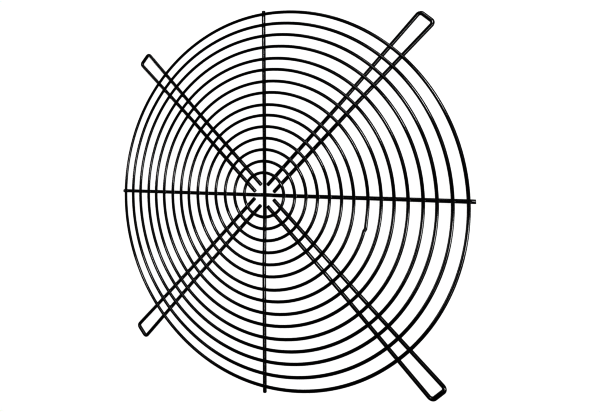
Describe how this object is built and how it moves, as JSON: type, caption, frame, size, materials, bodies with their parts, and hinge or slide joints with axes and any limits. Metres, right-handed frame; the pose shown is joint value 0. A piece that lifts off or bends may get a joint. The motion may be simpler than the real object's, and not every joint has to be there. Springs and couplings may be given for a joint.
{
  "type": "wire fan guard",
  "caption": "Flat round finger guard of welded coated wire: concentric rings on a cross, with hairpin legs whose loops take the fixing screws.",
  "frame": {"origin": "under the middle of the rings, at the level of the lowest wire", "axes": "+X and +Y along the two cross wires, +Z out of the face that the rings are on"},
  "size_m": [0.327, 0.3274, 0.0074],
  "materials": {
    "coated_wire": "gloss black coating over steel wire"
  },
  "bodies": {
    "root": {"ring_01": "coated_wire", "ring_02": "coated_wire", "ring_03": "coated_wire", "ring_04": "coated_wire", "ring_05": "coated_wire", "ring_06": "coated_wire", "ring_07": "coated_wire", "ring_08": "coated_wire", "ring_09": "coated_wire", "ring_10": "coated_wire", "ring_11": "coated_wire", "ring_12": "coated_wire", "ring_13": "coated_wire", "ring_14": "coated_wire", "ring_15": "coated_wire", "cross_wire_vertical": "coated_wire", "cross_wire_horizontal": "coated_wire", "leg_upper_left": "coated_wire", "leg_upper_right": "coated_wire", "leg_lower_left": "coated_wire", "leg_lower_right": "coated_wire"}
  },
  "joints": []
}
